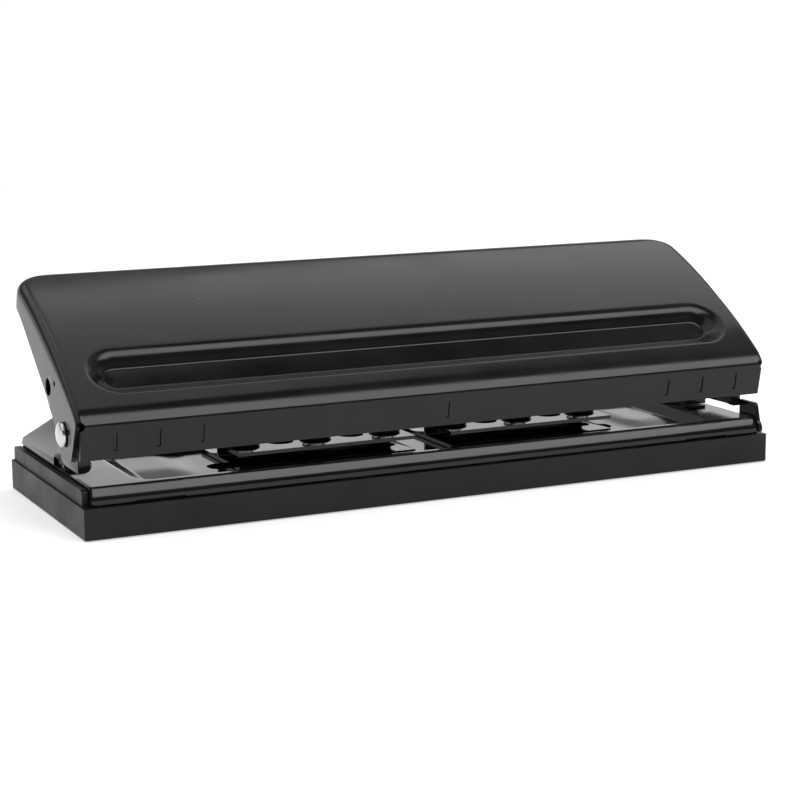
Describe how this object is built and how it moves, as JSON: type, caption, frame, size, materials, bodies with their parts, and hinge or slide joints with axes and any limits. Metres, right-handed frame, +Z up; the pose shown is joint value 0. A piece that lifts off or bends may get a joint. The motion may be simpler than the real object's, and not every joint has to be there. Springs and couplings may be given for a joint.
{
  "type": "paper hole punch",
  "caption": "Desktop lever punch with two sliding pin heads, a pressed black steel lever and base, a pull-out paper guide and a clip-on chip tray.",
  "frame": {"origin": "middle of the base in plan, on the plane that the feet rest on", "axes": "+X along the length to the paper guide's end, +Y away from the lever's lip to the lever's raised edge, +Z up"},
  "size_m": [0.1922, 0.0636, 0.0558],
  "materials": {
    "gloss_black_paint": "smooth gloss black stoved paint on pressed steel",
    "black_plastic": "fine satin moulded black plastic",
    "chrome": "bright nickel or chrome plate",
    "bright_steel": "zinc plated or ground steel",
    "rubber": "matt black rubber"
  },
  "bodies": {
    "base": {"base_plate": "gloss_black_paint", "left_bracket": "gloss_black_paint", "right_bracket": "gloss_black_paint", "left_bracket_rivet_front": "bright_steel", "left_bracket_rivet_back": "bright_steel", "right_bracket_rivet_front": "bright_steel", "right_bracket_rivet_back": "bright_steel", "left_pivot_rivet": "chrome", "left_pivot_washer": "black_plastic", "right_pivot_rivet": "chrome", "right_pivot_washer": "black_plastic", "guide_keeper_inner": "bright_steel", "guide_keeper_outer": "bright_steel"},
    "tray": {"chip_tray": "black_plastic", "foot_front_left": "rubber", "foot_front_right": "rubber", "foot_back_left": "rubber", "foot_back_right": "rubber"},
    "lever": {"lever_cover": "gloss_black_paint", "press_bar": "bright_steel"},
    "left_head": {"left_head_frame": "gloss_black_paint", "left_clamp_plate": "bright_steel", "left_head_screw_inner": "bright_steel", "left_head_screw_outer": "bright_steel", "left_guide_sleeve_1": "gloss_black_paint", "left_guide_sleeve_2": "gloss_black_paint", "left_guide_sleeve_3": "gloss_black_paint", "left_spring_1": "chrome", "left_spring_2": "chrome", "left_spring_3": "chrome"},
    "left_pins": {"left_pin_1": "bright_steel", "left_pin_2": "bright_steel", "left_pin_3": "bright_steel", "left_pin_clip_1": "bright_steel", "left_pin_clip_2": "bright_steel", "left_pin_clip_3": "bright_steel"},
    "right_head": {"right_head_frame": "gloss_black_paint", "right_clamp_plate": "bright_steel", "right_head_screw_inner": "bright_steel", "right_head_screw_outer": "bright_steel", "right_guide_sleeve_1": "gloss_black_paint", "right_guide_sleeve_2": "gloss_black_paint", "right_guide_sleeve_3": "gloss_black_paint", "right_spring_1": "chrome", "right_spring_2": "chrome", "right_spring_3": "chrome"},
    "right_pins": {"right_pin_1": "bright_steel", "right_pin_2": "bright_steel", "right_pin_3": "bright_steel", "right_pin_clip_1": "bright_steel", "right_pin_clip_2": "bright_steel", "right_pin_clip_3": "bright_steel"},
    "guide": {"paper_guide": "gloss_black_paint"}
  },
  "joints": [
    {"name": "lever_hinge", "type": "hinge", "parent": "base", "child": "lever", "pos_m": [0, -0.0185, 0.0228], "axis": [-1, 0, 0], "range_deg": [0, 30], "stiffness_Nm_per_rad": 0.3, "springref_deg": -20.05},
    {"name": "tray_release", "type": "slide", "parent": "base", "child": "tray", "axis": [0, 0, -1], "range_m": [0, 0.02]},
    {"name": "guide_slide", "type": "slide", "parent": "base", "child": "guide", "axis": [1, 0, 0], "range_m": [0, 0.035]},
    {"name": "left_head_slide", "type": "slide", "parent": "base", "child": "left_head", "axis": [-1, 0, 0], "range_m": [0, 0.006]},
    {"name": "left_pins_slide", "type": "slide", "parent": "left_head", "child": "left_pins", "axis": [0, 0, -1], "range_m": [0, 0.0039], "deforming": ["left_spring_1", "left_spring_2", "left_spring_3"]},
    {"name": "right_head_slide", "type": "slide", "parent": "base", "child": "right_head", "axis": [1, 0, 0], "range_m": [0, 0.006]},
    {"name": "right_pins_slide", "type": "slide", "parent": "right_head", "child": "right_pins", "axis": [0, 0, -1], "range_m": [0, 0.0039], "deforming": ["right_spring_1", "right_spring_2", "right_spring_3"]}
  ],
  "couplings": [
    {"joint": "left_pins_slide", "follows": "lever_hinge", "m_per_rad": 0.0074},
    {"joint": "right_pins_slide", "follows": "lever_hinge", "m_per_rad": 0.0074}
  ]
}
